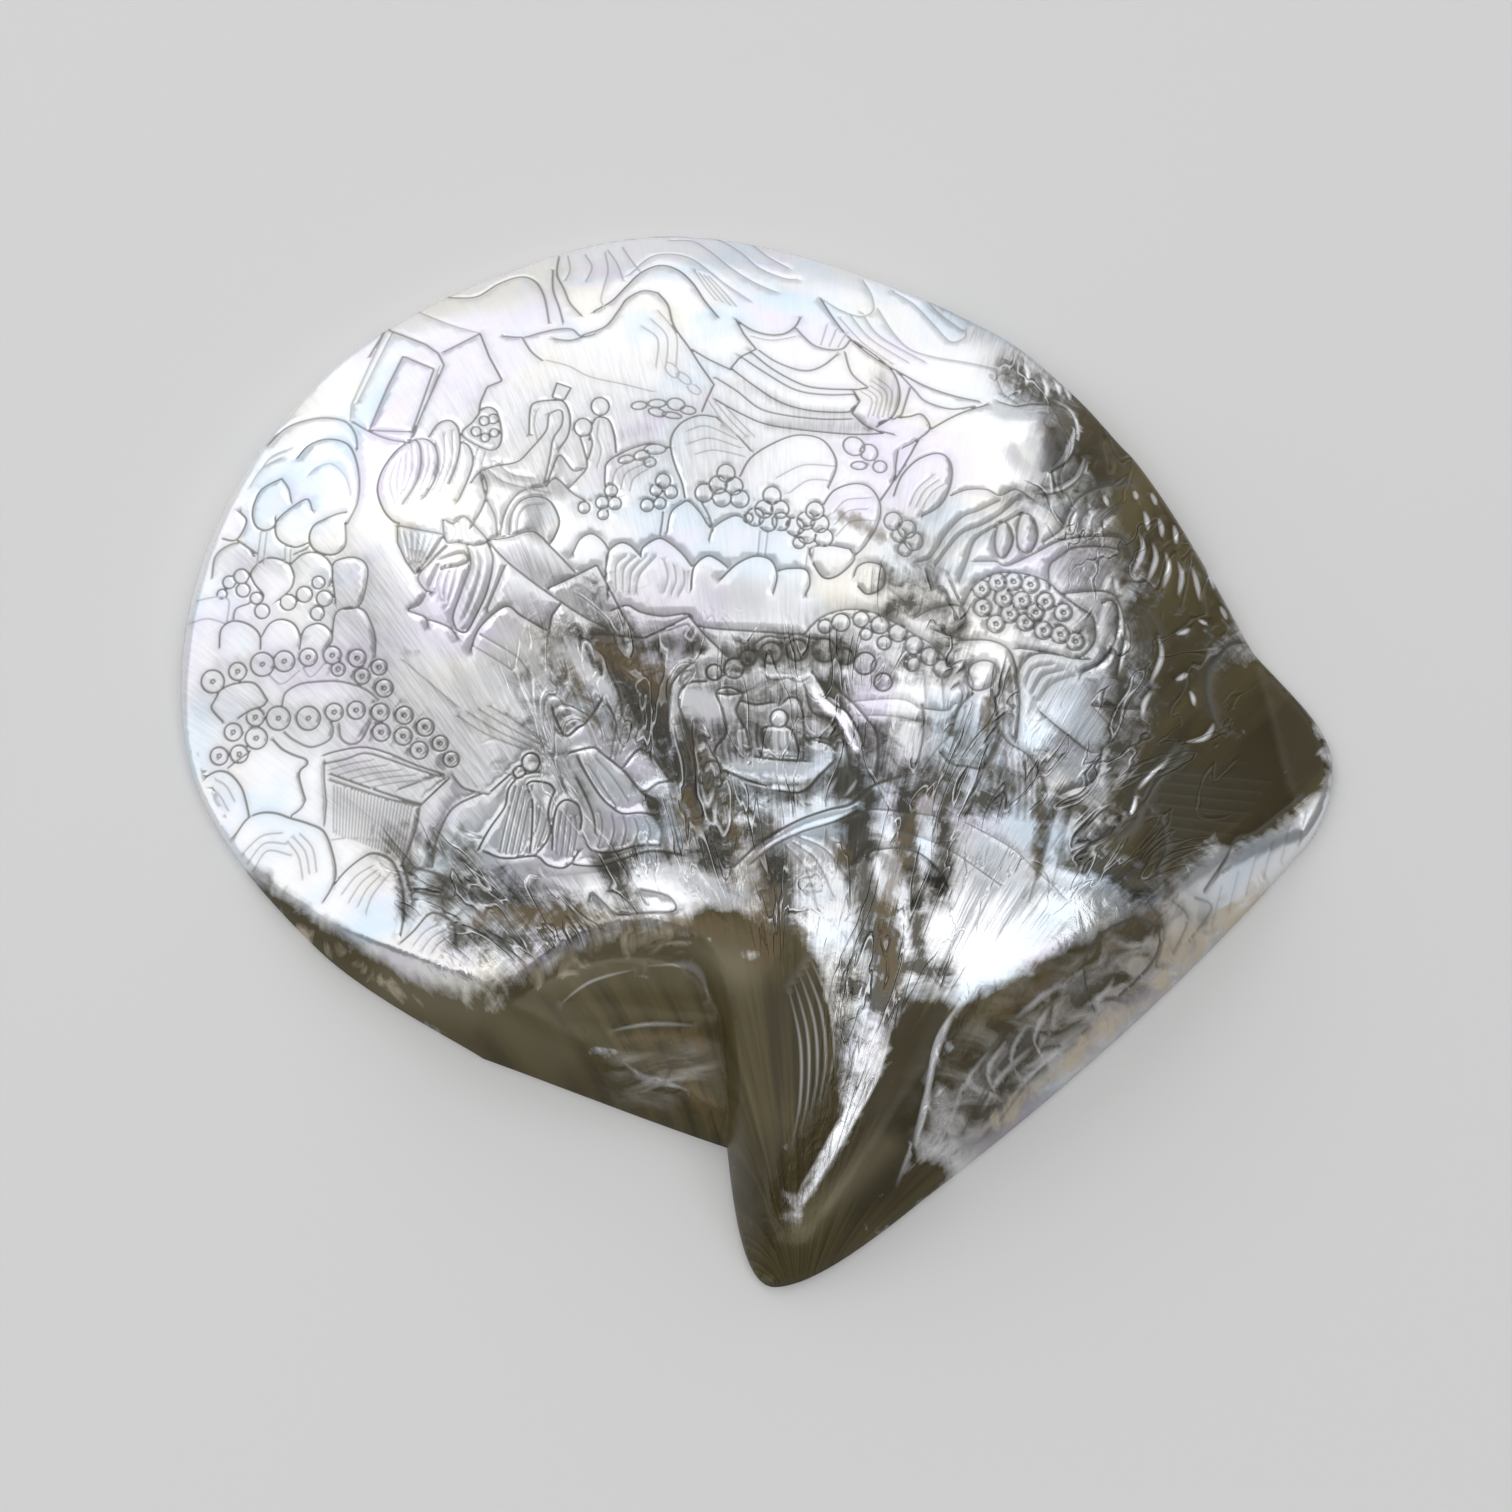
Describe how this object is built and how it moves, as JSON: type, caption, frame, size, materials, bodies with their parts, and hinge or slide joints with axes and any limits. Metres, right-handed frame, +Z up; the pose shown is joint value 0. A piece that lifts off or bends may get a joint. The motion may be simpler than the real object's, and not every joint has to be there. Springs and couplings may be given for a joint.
{
  "type": "carved pearl shell",
  "caption": "Whole valve of a large pearl oyster polished to its nacre and engraved all over its domed outer side, resting on its margin over its open hollow.",
  "frame": {"origin": "on the surface that the margin rests on, under the middle of the valve's plan", "axes": "+Z up through the dome, +Y from the beak towards the far margin, +X towards the wing at the end of the hinge"},
  "size_m": [0.1724, 0.1854, 0.0267],
  "materials": {
    "nacre": "polished mother of pearl, silver white with soft blue and lilac clouds, olive and translucent at the beak and hinge"
  },
  "bodies": {
    "root": {"shell": "nacre"}
  },
  "joints": []
}
